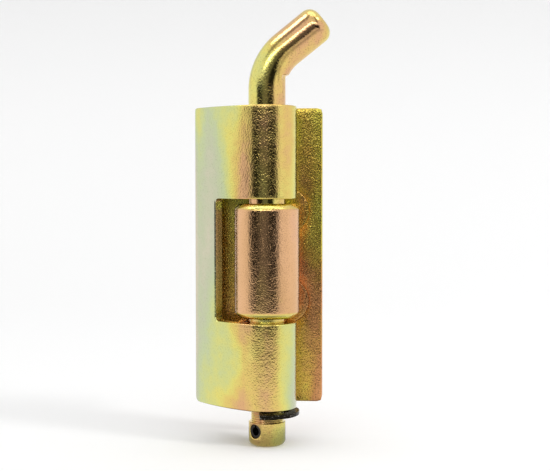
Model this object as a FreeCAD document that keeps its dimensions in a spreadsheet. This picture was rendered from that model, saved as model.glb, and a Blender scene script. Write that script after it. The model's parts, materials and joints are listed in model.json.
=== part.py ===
import FreeCAD, Part
import math
import os
import Sketcher

# Removable-pin door hinge, in millimetres.
# Origin: middle of the two mounting studs, on the back face of the frame leaf.
# +Z runs up along the hinge pin, +Y out of the back of the leaf into the cabinet frame, +X towards the
# side that the pin's handle points to. The hinge is modelled closed.

doc = FreeCAD.newDocument("removable_pin_hinge")

# ---------------------------------------------------------------------------------------------------------
# Driving dimensions
# ---------------------------------------------------------------------------------------------------------
DIMENSIONS = [
    ("hinge_height", 65.0),        # height of wing and leaf
    ("wing_plate", 2.3),           # thickness of the rolled wing
    ("wing_turn", 27.0),           # degrees from the front at which the wing leaves the barrel
    ("wing_curve", 40.0),          # outer radius of the wing's gentle curve
    ("wing_reach", 16.5),          # from the pin axis to the wing's free end, along X
    ("seam_gap", 0.3),             # between the rolled end and the wing's inner face
    ("wing_top_corner", 0.5),      # corner radii of the wing's free end
    ("wing_foot_corner", 1.3),
    ("notch_reach", 11.3),         # from the pin axis to the notch's wall, along X
    ("notch_corner", 0.8),
    ("notch_drop", 0.6),           # how far the notch and the knuckle sit below the hinge's middle
    ("leaf_plate", 3.0),           # thickness of the frame leaf
    ("leaf_left", 12.3),           # from the pin axis to the leaf's two long edges, along X
    ("leaf_right", 11.6),
    ("leaf_corner", 0.8),
    ("barrel_clear", 0.6),         # how far the wing's barrels stay clear of the leaf
    ("knuckle_long", 24.5),
    ("knuckle_chamfer", 1.0),
    ("knuckle_gap", 1.0),          # play between the knuckle's ends and the notch
    ("weld_long", 20.0),
    ("weld_inset", 1.5),           # thinnest edge of a weld bead, from the pin axis
    ("weld_reach", 5.5),           # a weld bead's toe on the leaf, from the pin axis
    ("weld_leg", 2.8),             # height of a weld bead above the leaf
    ("weld_gap", 0.02),
    ("stud_dia", 6.0),
    ("stud_long", 14.0),           # how far a stud stands out of the leaf
    ("stud_tip", 0.8),             # chamfer at a stud's end
    ("stud_collar", 0.4),          # extra radius of a stud where it is pressed into the leaf
    ("stud_head_dia", 10.0),
    ("stud_head", 1.5),            # thickness of a stud's flush head
    ("stud_pitch", 20.0),
    ("stud_offset", 3.7),          # from the pin axis to the studs, along X
    ("stud_gap", 0.02),
    ("pin_dia", 8.0),
    ("pin_gap", 0.1),              # running clearance round the pin, on the radius
    ("pin_tail", 8.1),             # how far the pin stands out below the hinge
    ("pin_rise", 8.8),             # from the hinge's top to the corner of the pin's bent axis
    ("pin_bend", 11.0),            # radius of the bend, on the pin's axis
    ("pin_turn", 51.5),            # degrees that the handle leans from upright
    ("handle_long", 15.3),         # from that corner to the handle's end
    ("handle_round", 1.8),
    ("tail_round", 1.2),
    ("neck_depth", 0.5),           # depth of the neck that holds the retaining clip
    ("neck_top", 0.5),             # from the hinge's foot down to the neck
    ("neck_long", 2.5),
    ("clip_width", 3.5),           # from the neck out to the clip's rim
    ("clip_plate", 0.9),
    ("clip_gap", 0.04),            # clearance between clip and neck, on the radius and above the clip
    ("clip_reach", 2.0),           # how far the side prongs reach past the pin axis
    ("clip_turn", 9.0),            # degrees that the clip's mouth is turned from the left to the front
    ("clip_rim", 1.9),             # width of the clip's ring beside its two relief gaps
    ("clip_relief", 42.0),         # degrees that each relief gap spans
    ("clip_lobe", 34.0),           # degrees that the middle prong spans
    ("roll_dia", 3.0),             # the slotted spring pin through the tail
    ("roll_wall", 0.6),
    ("roll_slot", 0.6),
    ("roll_recess", 0.35),         # how far the spring pin's ends lie inside the pin's flank
    ("roll_drop", 4.8),            # from the hinge's foot down to the spring pin
    ("roll_turn", 38.0),           # degrees from the front to the spring pin's axis, towards the left
    ("roll_gap", 0.02),
]

sheet = doc.addObject("Spreadsheet::Sheet", "dims")
for row, (alias, value) in enumerate(DIMENSIONS, start=1):
    sheet.set(f"A{row}", alias)
    sheet.set(f"B{row}", str(value))
    sheet.setAlias(f"B{row}", alias)
doc.recompute()


def dim(alias):
    """A driving dimension's value, for the start positions of sketch geometry."""
    return float(sheet.get(alias))


# Sizes that follow from the driving dimensions, as expressions.
PIN_R = "dims.pin_dia / 2"
BORE_R = f"({PIN_R} + dims.pin_gap)"
BARREL_R = f"({BORE_R} + dims.wing_plate)"
KNUCKLE_R = f"({BARREL_R} + dims.barrel_clear)"
HALF_HEIGHT = "dims.hinge_height / 2"
NOTCH_HIGH = "(dims.knuckle_long + 2 * dims.knuckle_gap)"
CURVE_ARM = f"(dims.wing_curve - {BARREL_R})"
NECK_R = f"({PIN_R} - dims.neck_depth)"
CLIP_R = f"({NECK_R} + dims.clip_width)"
ROLL_LONG = "(dims.pin_dia - 2 * dims.roll_recess)"
PIN_X = "-dims.stud_offset"
PIN_Y = f"-(dims.leaf_plate + {KNUCKLE_R})"

# The same sizes as numbers.
bore_r = dim("pin_dia") / 2 + dim("pin_gap")
barrel_r = bore_r + dim("wing_plate")
knuckle_r = barrel_r + dim("barrel_clear")
curve_arm = dim("wing_curve") - barrel_r


# ---------------------------------------------------------------------------------------------------------
# Tools for sketches and features
# ---------------------------------------------------------------------------------------------------------
def place(item, x="0", y="0", z="0"):
    """Bind the three coordinates of an object's Placement to expressions."""
    for axis, text in zip("xyz", (x, y, z)):
        item.setExpression(f".Placement.Base.{axis}", text)


def new_body(label, x="0", y="0", z="0"):
    body = doc.addObject("PartDesign::Body", label)
    body.Label = label
    place(body, x, y, z)
    return body


def new_sketch(body, role, name, lift=None, turn=None):
    """A sketch on one of the body's own origin planes, lifted along its normal or turned about Z."""
    sketch = body.newObject("Sketcher::SketchObject", name)
    plane = next(item for item in body.Origin.OriginFeatures if item.Role == role)
    sketch.AttachmentSupport = [(plane, "")]
    sketch.MapMode = "FlatFace"
    if lift:
        sketch.setExpression(".AttachmentOffset.Base.z", lift)
    if turn:
        about_y = FreeCAD.Rotation(FreeCAD.Vector(0, 1, 0), 0)
        sketch.AttachmentOffset = FreeCAD.Placement(FreeCAD.Vector(), about_y)
        sketch.setExpression(".AttachmentOffset.Rotation.Angle", turn)
    return sketch


def bind(sketch, name, kind, *places, value):
    """Add a named dimension to a sketch and tie it to an expression."""
    start = FreeCAD.Units.Quantity(sketch.evalExpression(value)).Value
    index = sketch.addConstraint(Sketcher.Constraint(kind, *places, start))
    sketch.renameConstraint(index, name)
    sketch.setExpression(f"Constraints.{name}", value)


def polygon(sketch, points):
    """Closed outline of straight lines; level and upright lines are kept so."""
    corners = [FreeCAD.Vector(x, y, 0) for x, y in points]
    lines = []
    for start, end in zip(corners, corners[1:] + corners[:1]):
        line = sketch.addGeometry(Part.LineSegment(start, end), False)
        if abs(start.y - end.y) < 1e-9:
            sketch.addConstraint(Sketcher.Constraint("Horizontal", line))
        elif abs(start.x - end.x) < 1e-9:
            sketch.addConstraint(Sketcher.Constraint("Vertical", line))
        lines.append(line)
    for line, following in zip(lines, lines[1:] + lines[:1]):
        sketch.addConstraint(Sketcher.Constraint("Coincident", line, 2, following, 1))
    return lines


def circle(sketch, name, radius, y=None):
    """Circle with a bound radius, at the sketch's origin or at a bound height above it."""
    centre_y = FreeCAD.Units.Quantity(sketch.evalExpression(y)).Value if y else 0.0
    size = FreeCAD.Units.Quantity(sketch.evalExpression(radius)).Value
    centre = FreeCAD.Vector(0, centre_y, 0)
    ring = sketch.addGeometry(Part.Circle(centre, FreeCAD.Vector(0, 0, 1), size), False)
    bind(sketch, f"{name}_r", "Radius", ring, value=radius)
    if y is None:
        sketch.addConstraint(Sketcher.Constraint("Coincident", ring, 3, -1, 1))
    else:
        sketch.addConstraint(Sketcher.Constraint("PointOnObject", ring, 3, -2))
        bind(sketch, f"{name}_y", "DistanceY", -1, 1, ring, 3, value=y)


def pad(body, sketch, length, name, symmetric=False, backwards=False):
    feature = body.newObject("PartDesign::Pad", name)
    feature.Profile = sketch
    feature.setExpression("Length", length)
    if symmetric:
        feature.SideType = "Symmetric"
    feature.Reversed = backwards
    doc.recompute()
    return feature


def pocket(body, sketch, length, name, symmetric=False, backwards=False):
    feature = body.newObject("PartDesign::Pocket", name)
    feature.Profile = sketch
    feature.setExpression("Length", length)
    if symmetric:
        feature.SideType = "Symmetric"
    feature.Reversed = backwards
    before = feature.BaseFeature.Shape.Volume
    doc.recompute()
    if feature.Shape.Volume > before - 1e-6:
        raise RuntimeError(f"{name} cuts nothing")
    return feature


def edges_where(feature, test):
    """Names of the feature's edges that pass a test."""
    return [f"Edge{number}" for number, edge in enumerate(feature.Shape.Edges, start=1) if test(edge)]


def dress(body, kind, feature, test, size, name):
    """A PartDesign Fillet or Chamfer on the edges that pass a test."""
    item = body.newObject(f"PartDesign::{kind}", name)
    item.Base = (feature, edges_where(feature, test))
    item.setExpression("Radius" if kind == "Fillet" else "Size", size)
    doc.recompute()
    return item


def at_height(edge, height):
    return all(abs(vertex.Z - height) < 1e-4 for vertex in edge.Vertexes)


# ---------------------------------------------------------------------------------------------------------
# Frame leaf: flat plate with two counterbored holes for the press-in studs
# ---------------------------------------------------------------------------------------------------------
def build_frame_leaf():
    body = new_body("frame_leaf")
    outline = new_sketch(body, "XZ_Plane", "leaf_outline")
    left = dim("stud_offset") + dim("leaf_left")
    right = dim("leaf_right") - dim("stud_offset")
    half = dim("hinge_height") / 2
    foot, side, _, _ = polygon(outline, [(-left, -half), (right, -half), (right, half), (-left, half)])
    bind(outline, "left", "DistanceX", foot, 1, -1, 1, value="dims.stud_offset + dims.leaf_left")
    bind(outline, "right", "DistanceX", -1, 1, foot, 2, value="dims.leaf_right - dims.stud_offset")
    bind(outline, "foot", "DistanceY", foot, 1, -1, 1, value=HALF_HEIGHT)
    bind(outline, "height", "DistanceY", side, 1, side, 2, value="dims.hinge_height")
    plate = pad(body, outline, "dims.leaf_plate", "leaf_plate")

    recess = new_sketch(body, "XZ_Plane", "stud_recess", lift="dims.leaf_plate")
    shanks = new_sketch(body, "XZ_Plane", "stud_holes")
    for name, y in (("low", "-dims.stud_pitch / 2"), ("high", "dims.stud_pitch / 2")):
        circle(recess, name, "dims.stud_head_dia / 2 + dims.stud_gap", y=y)
        circle(shanks, name, "dims.stud_dia / 2 + dims.stud_collar + dims.stud_gap", y=y)
    pocket(body, recess, "dims.stud_head", "head_recesses")
    drilled = pocket(body, shanks, "dims.leaf_plate", "shank_holes", backwards=True)
    dress(
        body, "Fillet", drilled,
        lambda edge: len(edge.Vertexes) == 2 and abs(abs(edge.Vertexes[0].Z) - half) < 1e-4
        and abs(edge.Vertexes[0].Y - edge.Vertexes[1].Y) > 0.9 * dim("leaf_plate"),
        "dims.leaf_corner", "leaf_corners")
    return body


# ---------------------------------------------------------------------------------------------------------
# Mounting studs: flush round heads in the leaf's front, threaded shanks out of its back
# ---------------------------------------------------------------------------------------------------------
def build_stud(name, height):
    """One stud, turned about the Y axis: head, pressed-in collar, shank and the chamfered tip."""
    head = doc.addObject("Part::Cylinder", f"{name}_head")
    head.setExpression("Radius", "dims.stud_head_dia / 2")
    head.setExpression("Height", "dims.stud_head - dims.stud_gap")
    collar = doc.addObject("Part::Cylinder", f"{name}_collar")
    collar.setExpression("Radius", "dims.stud_dia / 2 + dims.stud_collar")
    collar.setExpression("Height", "dims.leaf_plate")
    shank = doc.addObject("Part::Cylinder", f"{name}_shank")
    shank.setExpression("Radius", "dims.stud_dia / 2")
    shank.setExpression("Height", "dims.leaf_plate + dims.stud_long - dims.stud_tip")
    tip = doc.addObject("Part::Cone", f"{name}_tip")
    tip.setExpression("Radius1", "dims.stud_dia / 2")
    tip.setExpression("Radius2", "dims.stud_dia / 2 - dims.stud_tip")
    tip.setExpression("Height", "dims.stud_tip")
    for piece in (head, collar, shank, tip):
        piece.Placement = FreeCAD.Placement(FreeCAD.Vector(), FreeCAD.Rotation(FreeCAD.Vector(1, 0, 0), -90))
        piece.setExpression(".Placement.Base.z", height)
    for piece in (head, collar, shank):
        piece.setExpression(".Placement.Base.y", "-dims.leaf_plate")
    tip.setExpression(".Placement.Base.y", "dims.stud_long - dims.stud_tip")
    stud = doc.addObject("Part::MultiFuse", name)
    stud.Shapes = [head, collar, shank, tip]
    stud.Refine = True
    return stud


def build_mounting_studs():
    low = build_stud("stud_low", "-dims.stud_pitch / 2")
    high = build_stud("stud_high", "dims.stud_pitch / 2")
    studs = doc.addObject("Part::Compound", "mounting_studs")
    studs.Label = "mounting_studs"
    studs.Links = [low, high]
    return studs


# ---------------------------------------------------------------------------------------------------------
# Knuckle: turned tube that carries the pin between the wing's barrels
# ---------------------------------------------------------------------------------------------------------
def build_knuckle():
    body = new_body("knuckle", PIN_X, PIN_Y, "-dims.knuckle_long / 2 - dims.notch_drop")
    ring = new_sketch(body, "XY_Plane", "knuckle_ring")
    circle(ring, "outer", KNUCKLE_R)
    circle(ring, "bore", BORE_R)
    tube = pad(body, ring, "dims.knuckle_long", "knuckle_tube")
    dress(
        body, "Chamfer", tube,
        lambda edge: edge.Curve.TypeId == "Part::GeomCircle"
        and abs(edge.Curve.Radius - knuckle_r) < 1e-4,
        "dims.knuckle_chamfer", "knuckle_chamfers")
    return body


# ---------------------------------------------------------------------------------------------------------
# Weld beads: one each side, between the knuckle's flank and the leaf's front
# ---------------------------------------------------------------------------------------------------------
def build_knuckle_welds():
    """The bead's section is the corner between leaf and knuckle, closed by a straight face."""
    flank_r = knuckle_r + dim("weld_gap")
    leaf_y = knuckle_r - dim("weld_gap")
    inset = dim("weld_inset")
    reach = dim("weld_reach")
    crown_y = leaf_y - dim("weld_leg")
    crown_x = math.sqrt(flank_r ** 2 - crown_y ** 2)
    inner_y = math.sqrt(flank_r ** 2 - inset ** 2)
    section = doc.addObject("Sketcher::SketchObject", "weld_section")
    toe = FreeCAD.Vector(reach, leaf_y, 0)
    crown = FreeCAD.Vector(crown_x, crown_y, 0)
    root = FreeCAD.Vector(inset, leaf_y, 0)
    lip = FreeCAD.Vector(inset, inner_y, 0)
    base = section.addGeometry(Part.LineSegment(root, toe), False)
    face = section.addGeometry(Part.LineSegment(toe, crown), False)
    flank_circle = Part.Circle(FreeCAD.Vector(), FreeCAD.Vector(0, 0, 1), flank_r)
    flank = section.addGeometry(
        Part.ArcOfCircle(flank_circle, math.atan2(crown_y, crown_x), math.atan2(inner_y, inset)), False)
    edge = section.addGeometry(Part.LineSegment(lip, root), False)
    sides = (base, face, flank, edge)
    for side, following in zip(sides, sides[1:] + sides[:1]):
        section.addConstraint(Sketcher.Constraint("Coincident", side, 2, following, 1))
    section.addConstraint(Sketcher.Constraint("Coincident", flank, 3, -1, 1))
    section.addConstraint(Sketcher.Constraint("Horizontal", base))
    section.addConstraint(Sketcher.Constraint("Vertical", edge))
    bind(section, "flank_r", "Radius", flank, value=f"{KNUCKLE_R} + dims.weld_gap")
    bind(section, "leaf", "DistanceY", -1, 1, base, 1, value=f"{KNUCKLE_R} - dims.weld_gap")
    bind(section, "inset", "DistanceX", -1, 1, base, 1, value="dims.weld_inset")
    bind(section, "toe", "DistanceX", -1, 1, base, 2, value="dims.weld_reach")
    bind(section, "leg", "DistanceY", face, 2, face, 1, value="dims.weld_leg")

    bead = doc.addObject("Part::Extrusion", "weld_right")
    bead.Base = section
    bead.Dir = FreeCAD.Vector(0, 0, 1)
    bead.setExpression("LengthFwd", "dims.weld_long")
    bead.Solid = True
    other = doc.addObject("Part::Mirroring", "weld_left")
    other.Source = bead
    other.Normal = FreeCAD.Vector(1, 0, 0)
    welds = doc.addObject("Part::Compound", "knuckle_welds")
    welds.Label = "knuckle_welds"
    welds.Links = [bead, other]
    place(welds, PIN_X, PIN_Y, "-dims.weld_long / 2")
    return welds


# ---------------------------------------------------------------------------------------------------------
# Wing leaf: plate rolled round the pin, with a notch for the knuckle
# ---------------------------------------------------------------------------------------------------------
def facing(angle):
    """Unit vector at an angle, in degrees, from the front (-Y) towards the left (-X)."""
    turn = math.radians(angle)
    return FreeCAD.Vector(-math.sin(turn), -math.cos(turn), 0)


def sketch_angle(angle):
    """The same direction as a sketch angle, in radians."""
    return math.radians(270 - angle)


def curve_centre():
    """Centre of the wing's gentle curve, whose outer face leaves the barrel at a tangent."""
    return facing(dim("wing_turn")) * -curve_arm


def angle_at_reach(reach):
    """Angle of the point of the outer curve that lies this far left of the pin axis."""
    return math.degrees(math.asin((curve_centre().x + reach) / dim("wing_curve")))


def pin_curve_centre(sketch, curve):
    """Fix a curve's centre on the line through the tangent point."""
    bind(sketch, "centre_x", "DistanceX", -1, 1, curve, 3, value=f"{CURVE_ARM} * sin(dims.wing_turn)")
    bind(sketch, "centre_y", "DistanceY", -1, 1, curve, 3, value=f"{CURVE_ARM} * cos(dims.wing_turn)")


def sketch_wing_section(body):
    """The "6"-shaped section: barrel, gentle curve, free end, and the rolled end inside the curve."""
    sketch = new_sketch(body, "XY_Plane", "wing_section")
    centre = curve_centre()
    outer_r = dim("wing_curve")
    inner_r = outer_r - dim("wing_plate")
    seam_r = inner_r - dim("seam_gap")
    turn = dim("wing_turn")
    end = angle_at_reach(dim("wing_reach"))
    opening = math.acos((barrel_r ** 2 + curve_arm ** 2 - seam_r ** 2) / (2 * barrel_r * curve_arm))
    rolled_end = turn + 180 - math.degrees(opening)
    up = FreeCAD.Vector(0, 0, 1)

    def arc(middle, radius, start, stop):
        ring = Part.Circle(middle, up, radius)
        return sketch.addGeometry(Part.ArcOfCircle(ring, sketch_angle(start), sketch_angle(stop)), False)

    barrel = arc(FreeCAD.Vector(), barrel_r, turn, rolled_end - 360)
    bore = arc(FreeCAD.Vector(), bore_r, turn, rolled_end - 360)
    outer = arc(centre, outer_r, end, turn)
    inner = arc(centre, inner_r, end, turn)
    free_end = sketch.addGeometry(
        Part.LineSegment(centre + facing(end) * outer_r, centre + facing(end) * inner_r), False)
    butt = sketch.addGeometry(
        Part.LineSegment(facing(rolled_end) * barrel_r, facing(rolled_end) * bore_r), False)
    seam = sketch.addGeometry(Part.Circle(centre, up, seam_r), True)

    for first, second in ((barrel, bore), (outer, inner), (outer, seam)):
        sketch.addConstraint(Sketcher.Constraint("Coincident", first, 3, second, 3))
    sketch.addConstraint(Sketcher.Constraint("Coincident", barrel, 3, -1, 1))
    for curve, curve_end, line, line_end in (
            (outer, 1, free_end, 1), (inner, 1, free_end, 2), (barrel, 2, butt, 1), (bore, 2, butt, 2)):
        sketch.addConstraint(Sketcher.Constraint("Coincident", curve, curve_end, line, line_end))
    sketch.addConstraint(Sketcher.Constraint("PointOnObject", outer, 3, free_end))
    sketch.addConstraint(Sketcher.Constraint("PointOnObject", -1, 1, butt))
    sketch.addConstraint(Sketcher.Constraint("PointOnObject", butt, 1, seam))
    sketch.addConstraint(Sketcher.Constraint("Tangent", outer, 2, barrel, 1))
    sketch.addConstraint(Sketcher.Constraint("Tangent", inner, 2, bore, 1))
    bind(sketch, "bore_r", "Radius", bore, value=BORE_R)
    bind(sketch, "barrel_r", "Radius", barrel, value=BARREL_R)
    bind(sketch, "seam_r", "Radius", seam, value="dims.wing_curve - dims.wing_plate - dims.seam_gap")
    bind(sketch, "reach", "DistanceX", outer, 1, -1, 1, value="dims.wing_reach")
    pin_curve_centre(sketch, outer)
    return sketch


def sketch_notch(body):
    """Everything right of a cut that runs square through the plate, wide enough to take the barrel too."""
    sketch = new_sketch(body, "XY_Plane", "notch_outline", lift=f"{HALF_HEIGHT} - dims.notch_drop")
    centre = curve_centre()
    outer_r = dim("wing_curve")
    cut = angle_at_reach(dim("notch_reach"))
    margin = 1.0
    up = FreeCAD.Vector(0, 0, 1)
    outside_r = outer_r + margin
    inside_r = outer_r - dim("wing_plate") - margin
    front = centre + facing(cut) * outside_r
    back = centre + facing(cut) * inside_r
    clear = barrel_r + 3 * margin
    lines = polygon(sketch, [
        (front.x, front.y), (back.x, back.y), (back.x, clear),
        (clear, clear), (clear, -clear), (front.x, -clear)])
    curve = sketch.addGeometry(Part.Circle(centre, up, outer_r), True)
    inside = sketch.addGeometry(Part.Circle(centre, up, inside_r), True)
    outside = sketch.addGeometry(Part.Circle(centre, up, outside_r), True)
    rim = sketch.addGeometry(Part.Point(centre + facing(cut) * outer_r), True)
    for ring in (inside, outside):
        sketch.addConstraint(Sketcher.Constraint("Coincident", curve, 3, ring, 3))
    sketch.addConstraint(Sketcher.Constraint("PointOnObject", rim, 1, curve))
    sketch.addConstraint(Sketcher.Constraint("PointOnObject", rim, 1, lines[0]))
    sketch.addConstraint(Sketcher.Constraint("PointOnObject", curve, 3, lines[0]))
    sketch.addConstraint(Sketcher.Constraint("PointOnObject", lines[0], 1, outside))
    sketch.addConstraint(Sketcher.Constraint("PointOnObject", lines[0], 2, inside))
    pin_curve_centre(sketch, curve)
    bind(sketch, "curve_r", "Radius", curve, value="dims.wing_curve")
    bind(sketch, "inside_r", "Radius", inside, value=f"dims.wing_curve - dims.wing_plate - {margin}")
    bind(sketch, "outside_r", "Radius", outside, value=f"dims.wing_curve + {margin}")
    bind(sketch, "reach", "DistanceX", rim, 1, -1, 1, value="dims.notch_reach")
    clearance = f"{BARREL_R} + {3 * margin}"
    bind(sketch, "clear_back", "DistanceY", -1, 1, lines[2], 1, value=clearance)
    bind(sketch, "clear_side", "DistanceX", -1, 1, lines[2], 2, value=clearance)
    bind(sketch, "clear_front", "DistanceY", lines[4], 1, -1, 1, value=clearance)
    return sketch


def build_wing_leaf():
    body = new_body("wing_leaf", PIN_X, PIN_Y, f"-{HALF_HEIGHT}")
    rolled = pad(body, sketch_wing_section(body), "dims.hinge_height", "rolled_plate")
    notched = pocket(body, sketch_notch(body), NOTCH_HIGH, "knuckle_notch", symmetric=True)
    height = dim("hinge_height")
    middle = height / 2 - dim("notch_drop")
    notch_high = dim("knuckle_long") + 2 * dim("knuckle_gap")

    def across_plate(edge, reach):
        """True for an edge that runs square through the plate, this far left of the axis."""
        if edge.Curve.TypeId != "Part::GeomLine" or abs(edge.Length - dim("wing_plate")) > 1e-3:
            return False
        return abs(min(vertex.X for vertex in edge.Vertexes) + reach) < 1e-3

    def notch_corner(edge):
        level = any(at_height(edge, middle + side * notch_high / 2) for side in (-1, 1))
        return level and across_plate(edge, dim("notch_reach"))

    cornered = dress(body, "Fillet", notched, notch_corner, "dims.notch_corner", "notch_corners")
    topped = dress(
        body, "Fillet", cornered,
        lambda edge: at_height(edge, height) and across_plate(edge, dim("wing_reach")),
        "dims.wing_top_corner", "top_corner")
    dress(
        body, "Fillet", topped,
        lambda edge: at_height(edge, 0) and across_plate(edge, dim("wing_reach")),
        "dims.wing_foot_corner", "foot_corner")
    return body


# ---------------------------------------------------------------------------------------------------------
# Hinge pin: straight shank, bent handle, neck for the clip and a cross hole for the spring pin
# ---------------------------------------------------------------------------------------------------------
def build_hinge_pin():
    """The body's origin is on the pin axis at the hinge's foot."""
    body = new_body("hinge_pin", PIN_X, PIN_Y, f"-{HALF_HEIGHT}")
    lean = math.radians(dim("pin_turn"))
    tail = dim("pin_tail")
    corner = dim("hinge_height") + dim("pin_rise")
    setback = dim("pin_bend") * math.tan(lean / 2)
    along = FreeCAD.Vector(math.sin(lean), math.cos(lean), 0)
    start = FreeCAD.Vector(0, corner - setback, 0)
    centre = FreeCAD.Vector(dim("pin_bend"), corner - setback, 0)
    finish = FreeCAD.Vector(0, corner, 0) + along * setback
    end = FreeCAD.Vector(0, corner, 0) + along * dim("handle_long")

    path = new_sketch(body, "XZ_Plane", "pin_path")
    shank = path.addGeometry(Part.LineSegment(FreeCAD.Vector(0, -tail, 0), start), False)
    bend_circle = Part.Circle(centre, FreeCAD.Vector(0, 0, 1), dim("pin_bend"))
    bend = path.addGeometry(Part.ArcOfCircle(bend_circle, math.pi - lean, math.pi), False)
    handle = path.addGeometry(Part.LineSegment(finish, end), False)
    apex = path.addGeometry(Part.Point(FreeCAD.Vector(0, corner, 0)), True)
    path.addConstraint(Sketcher.Constraint("Tangent", shank, 2, bend, 2))
    path.addConstraint(Sketcher.Constraint("Tangent", handle, 1, bend, 1))
    path.addConstraint(Sketcher.Constraint("PointOnObject", shank, 1, -2))
    path.addConstraint(Sketcher.Constraint("Vertical", shank))
    path.addConstraint(Sketcher.Constraint("PointOnObject", apex, 1, shank))
    path.addConstraint(Sketcher.Constraint("PointOnObject", apex, 1, handle))
    bind(path, "tail", "DistanceY", shank, 1, -1, 1, value="dims.pin_tail")
    bind(path, "corner", "DistanceY", -1, 1, apex, 1, value="dims.hinge_height + dims.pin_rise")
    bind(path, "bend_r", "Radius", bend, value="dims.pin_bend")
    bind(path, "rise", "DistanceY", apex, 1, handle, 2, value="dims.handle_long * cos(dims.pin_turn)")
    bind(path, "run", "DistanceX", apex, 1, handle, 2, value="dims.handle_long * sin(dims.pin_turn)")

    section = new_sketch(body, "XY_Plane", "pin_section", lift="-dims.pin_tail")
    circle(section, "pin", PIN_R)
    doc.recompute()
    rod = body.newObject("PartDesign::AdditivePipe", "bent_rod")
    rod.Profile = section
    rod.Spine = path
    doc.recompute()

    neck_profile = new_sketch(body, "XZ_Plane", "neck_profile")
    low = -dim("neck_top") - dim("neck_long")
    neck_r = dim("pin_dia") / 2 - dim("neck_depth")
    wide = dim("pin_dia")
    high = -dim("neck_top")
    inner, _, far, _ = polygon(neck_profile, [(neck_r, low), (neck_r, high), (wide, high), (wide, low)])
    bind(neck_profile, "neck_r", "DistanceX", -1, 1, inner, 1, value=NECK_R)
    bind(neck_profile, "neck_long", "DistanceY", inner, 1, inner, 2, value="dims.neck_long")
    bind(neck_profile, "neck_top", "DistanceY", inner, 2, -1, 1, value="dims.neck_top")
    bind(neck_profile, "clear", "DistanceX", -1, 1, far, 1, value="dims.pin_dia")
    neck = body.newObject("PartDesign::Groove", "clip_neck")
    neck.Profile = neck_profile
    neck.ReferenceAxis = (neck_profile, ["V_Axis"])
    neck.Angle = 360
    before = rod.Shape.Volume
    doc.recompute()
    if neck.Shape.Volume > before - 1e-6:
        raise RuntimeError("clip_neck cuts nothing")

    hole = new_sketch(body, "XZ_Plane", "roll_hole", turn="-dims.roll_turn")
    circle(hole, "roll", "dims.roll_dia / 2 + dims.roll_gap", y="-dims.roll_drop")
    crossed = pocket(body, hole, "2 * dims.pin_dia", "cross_hole", symmetric=True)

    handle_end = FreeCAD.Vector(end.x, 0, end.y)
    rounded = dress(
        body, "Fillet", crossed,
        lambda edge: edge.Curve.TypeId == "Part::GeomCircle"
        and edge.Curve.Center.distanceToPoint(handle_end) < 1e-3,
        "dims.handle_round", "handle_end")
    dress(
        body, "Fillet", rounded,
        lambda edge: edge.Curve.TypeId == "Part::GeomCircle" and abs(edge.Curve.Center.z + tail) < 1e-4,
        "dims.tail_round", "tail_end")
    return body


# ---------------------------------------------------------------------------------------------------------
# Retaining clip: E-shaped spring clip in the pin's neck, open towards the left
# ---------------------------------------------------------------------------------------------------------
def build_retaining_clip():
    def disc(name, radius, span=None):
        item = doc.addObject("Part::Cylinder", name)
        item.setExpression("Radius", radius)
        item.setExpression("Height", "dims.clip_plate")
        if span:
            item.setExpression("Angle", span)
        return item

    plate = disc("clip_blank", CLIP_R)
    seat = disc("clip_seat", f"{NECK_R} + dims.clip_gap")
    mouth = doc.addObject("Part::Box", "clip_mouth")
    mouth.setExpression("Length", f"2 * {CLIP_R}")
    mouth.setExpression("Width", f"2 * {CLIP_R}")
    mouth.setExpression("Height", "dims.clip_plate")
    place(mouth, f"-(dims.clip_reach + 2 * {CLIP_R})", f"-{CLIP_R}")
    reliefs = []
    for name, start in (("clip_relief_back", "dims.clip_lobe / 2"),
                        ("clip_relief_front", "-dims.clip_lobe / 2 - dims.clip_relief")):
        relief = disc(name, f"{CLIP_R} - dims.clip_rim", "dims.clip_relief")
        relief.setExpression(".Placement.Rotation.Angle", start)
        reliefs.append(relief)
    cuts = doc.addObject("Part::MultiFuse", "clip_cuts")
    cuts.Shapes = [seat, mouth] + reliefs
    clip = doc.addObject("Part::Cut", "retaining_clip")
    clip.Label = "retaining_clip"
    clip.Base = plate
    clip.Tool = cuts
    clip.setExpression(".Placement.Rotation.Angle", "dims.clip_turn")
    place(clip, PIN_X, PIN_Y, f"-({HALF_HEIGHT} + dims.neck_top + dims.clip_gap + dims.clip_plate)")
    return clip


# ---------------------------------------------------------------------------------------------------------
# Spring pin: rolled, slotted tube pressed through the pin's tail
# ---------------------------------------------------------------------------------------------------------
def build_spring_pin():
    tube = doc.addObject("Part::Cylinder", "roll_tube")
    tube.setExpression("Radius", "dims.roll_dia / 2")
    hollow = doc.addObject("Part::Cylinder", "roll_hollow")
    hollow.setExpression("Radius", "dims.roll_dia / 2 - dims.roll_wall")
    for item in (tube, hollow):
        item.setExpression("Height", ROLL_LONG)
    slot = doc.addObject("Part::Box", "roll_slot_cut")
    slot.setExpression("Length", "dims.roll_dia")
    slot.setExpression("Width", "dims.roll_slot")
    slot.setExpression("Height", ROLL_LONG)
    place(slot, "-dims.roll_dia", "-dims.roll_slot / 2")
    cuts = doc.addObject("Part::MultiFuse", "roll_cuts")
    cuts.Shapes = [hollow, slot]
    roll = doc.addObject("Part::Cut", "spring_pin")
    roll.Label = "spring_pin"
    roll.Base = tube
    roll.Tool = cuts
    slot_up = FreeCAD.Rotation(FreeCAD.Vector(0, 0, -1), FreeCAD.Vector(), facing(dim("roll_turn")), "ZXY")
    roll.Placement = FreeCAD.Placement(FreeCAD.Vector(), slot_up)
    half = f"{ROLL_LONG} / 2"
    place(
        roll,
        f"{PIN_X} + {half} * sin(dims.roll_turn)",
        f"{PIN_Y} + {half} * cos(dims.roll_turn)",
        f"-({HALF_HEIGHT} + dims.roll_drop)")
    return roll


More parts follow.
